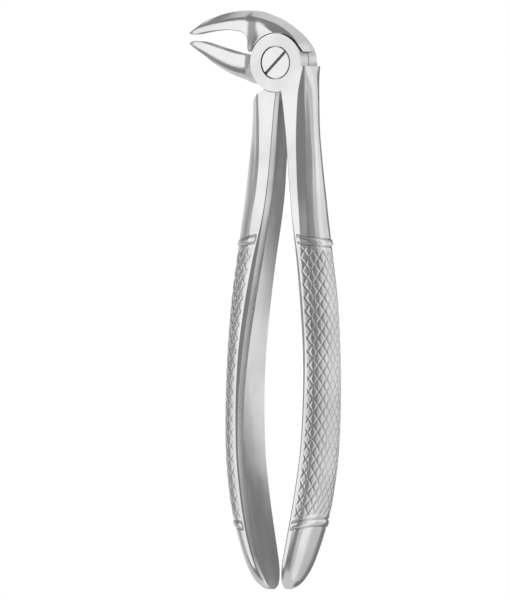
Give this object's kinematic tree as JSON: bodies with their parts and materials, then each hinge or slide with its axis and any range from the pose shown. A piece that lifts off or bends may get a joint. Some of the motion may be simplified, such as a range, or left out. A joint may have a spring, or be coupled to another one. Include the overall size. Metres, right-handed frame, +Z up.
{
  "type": "dental extraction forceps",
  "caption": "Steel tooth extraction forceps with hawk's-bill beaks, slotted screw lap joint, beaded shanks and cross-hatched curved handles.",
  "frame": {"origin": "centre of the pivot screw's flat end, in the flat rear face of the lap joint, on the pivot axis", "axes": "+Z up from the handle ends to the joint, +Y from the screw head through the joint to its rear face, -X towards the beak tips"},
  "size_m": [0.0487, 0.0176, 0.1678],
  "materials": {
    "lever_steel": "satin stainless steel, cross-hatched on the grips",
    "screw_steel": "fine satin stainless steel"
  },
  "bodies": {
    "upper_lever": {"upper_beak_lever": "lever_steel", "pivot_screw": "screw_steel"},
    "lower_lever": {"lower_beak_lever": "lever_steel"}
  },
  "joints": [
    {"name": "handles_open", "type": "hinge", "parent": "upper_lever", "child": "lower_lever", "pos_m": [0, -0.0048, 0], "axis": [0, -1, 0], "range_deg": [-1.4, 20]}
  ]
}
